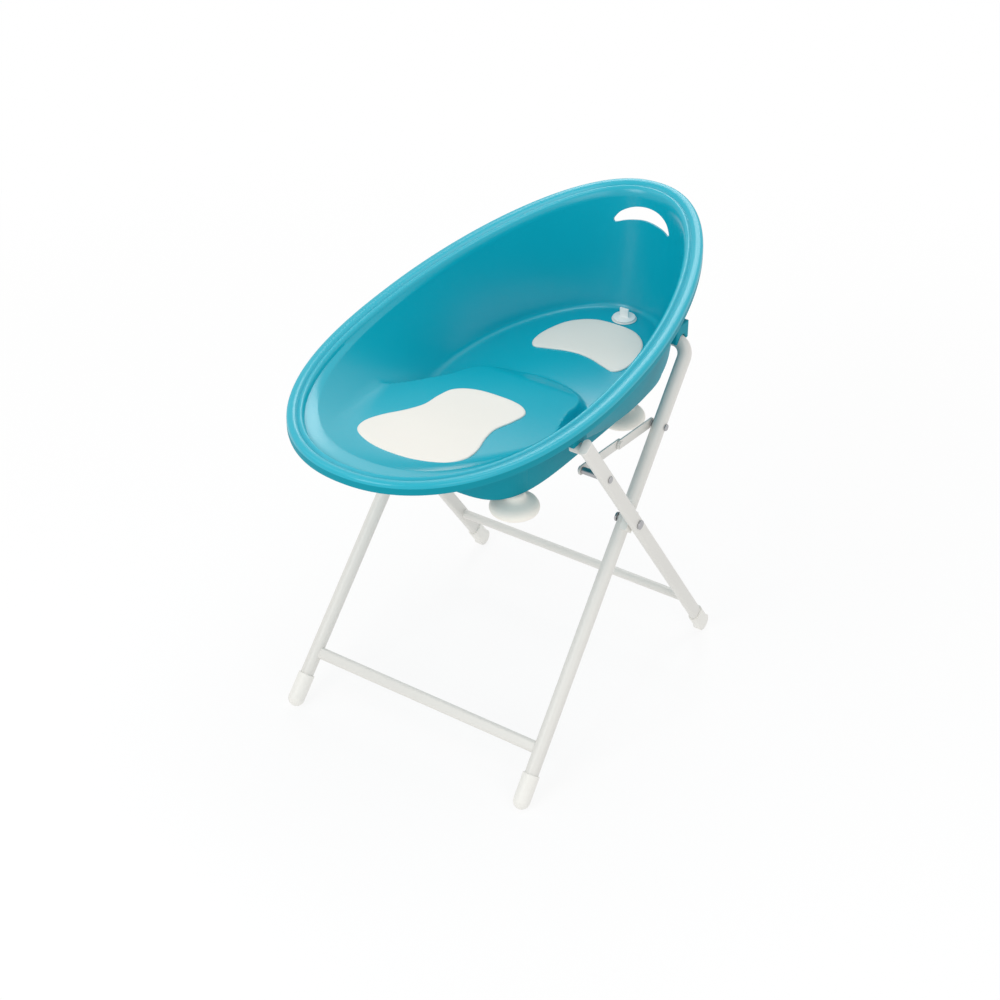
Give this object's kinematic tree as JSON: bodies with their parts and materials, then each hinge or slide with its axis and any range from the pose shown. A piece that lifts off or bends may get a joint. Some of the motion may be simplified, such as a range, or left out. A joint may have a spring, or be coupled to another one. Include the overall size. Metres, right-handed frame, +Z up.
{
  "type": "baby bath with stand",
  "caption": "Moulded egg-shaped baby bath with reclining ramp, soft pads and drain plug, hung by side lugs on a folding scissor stand of crossed tube legs.",
  "frame": {"origin": "on the floor, midway under the bath's overall box", "axes": "+Z up; +Y along the bath towards its high end; +X across, to the right when looking along +Y"},
  "size_m": [0.471, 0.8502, 0.7015],
  "materials": {
    "tub_teal": "glossy moulded teal plastic",
    "pad_cream": "matt soft cream inlay",
    "foot_cream": "matt cream rubber",
    "drain_white": "satin white plastic",
    "plug_white": "matt white rubber",
    "bolt_steel": "bright steel",
    "cap_cream": "satin cream plastic",
    "tube_cream": "cream powder coat"
  },
  "bodies": {
    "inner_frame": {"hook_plug_left": "cap_cream", "hook_plug_right": "cap_cream", "inner_cross_bar": "tube_cream", "inner_foot_cap_left": "cap_cream", "inner_foot_cap_right": "cap_cream", "inner_leg_left": "tube_cream", "inner_leg_right": "tube_cream", "pivot_collar_left": "cap_cream", "pivot_collar_right": "cap_cream", "stay_bolt_inner_left": "bolt_steel", "stay_bolt_inner_right": "bolt_steel"},
    "outer_frame": {"hook_bar_left": "tube_cream", "hook_bar_right": "tube_cream", "outer_cross_bar": "tube_cream", "outer_foot_cap_left": "cap_cream", "outer_foot_cap_right": "cap_cream", "outer_leg_left": "tube_cream", "outer_leg_right": "tube_cream", "outer_top_cap_left": "cap_cream", "outer_top_cap_right": "cap_cream", "pivot_bolt_left": "bolt_steel", "pivot_bolt_right": "bolt_steel", "stay_bolt_outer_left": "bolt_steel", "stay_bolt_outer_right": "bolt_steel"},
    "bath": {"bath_foot_back_left": "foot_cream", "bath_foot_back_right": "foot_cream", "bath_foot_front_left": "foot_cream", "bath_foot_front_right": "foot_cream", "bath_shell": "tub_teal", "drain_seat": "drain_white", "hanger_lug_back_left": "tub_teal", "hanger_lug_back_right": "tub_teal", "hanger_lug_front_left": "tub_teal", "hanger_lug_front_right": "tub_teal", "recline_pad": "pad_cream", "seat_pad": "pad_cream"},
    "drain_stopper": {"drain_plug": "plug_white"},
    "short_link_left": {"stay_short_left": "tube_cream"},
    "long_link_left": {"stay_long_left": "tube_cream"},
    "short_link_right": {"stay_short_right": "tube_cream"},
    "long_link_right": {"stay_long_right": "tube_cream"}
  },
  "joints": [
    {"name": "stand_fold", "type": "hinge", "parent": "inner_frame", "child": "outer_frame", "pos_m": [0, 0, 0.355], "axis": [-1, 0, 0], "range_deg": [0, 62]},
    {"name": "bath_lift", "type": "slide", "parent": "inner_frame", "child": "bath", "axis": [0, 0, 1], "range_m": [0, 0.33]},
    {"name": "plug_pull", "type": "slide", "parent": "bath", "child": "drain_stopper", "axis": [0, 0, 1], "range_m": [0, 0.05]},
    {"name": "stay_short_left", "type": "hinge", "parent": "inner_frame", "child": "short_link_left", "pos_m": [0, 0.101, 0.46992], "axis": [1, 0, 0], "range_deg": [0, 52.3]},
    {"name": "stay_short_right", "type": "hinge", "parent": "inner_frame", "child": "short_link_right", "pos_m": [0, 0.101, 0.46992], "axis": [1, 0, 0], "range_deg": [0, 52.3]},
    {"name": "stay_long_left", "type": "hinge", "parent": "outer_frame", "child": "long_link_left", "pos_m": [0, -0.0946, 0.48774], "axis": [-1, 0, 0], "range_deg": [0, 43.2]},
    {"name": "stay_long_right", "type": "hinge", "parent": "outer_frame", "child": "long_link_right", "pos_m": [0, -0.0946, 0.48774], "axis": [-1, 0, 0], "range_deg": [0, 43.2]}
  ],
  "couplings": [
    {"joint": "bath_lift", "follows": "stand_fold", "m_per_rad": 0.3},
    {"joint": "stay_short_left", "follows": "stand_fold", "ratio": 0.8348},
    {"joint": "stay_short_right", "follows": "stand_fold", "ratio": 0.8348},
    {"joint": "stay_long_left", "follows": "stand_fold", "ratio": 0.6871},
    {"joint": "stay_long_right", "follows": "stand_fold", "ratio": 0.6871}
  ]
}
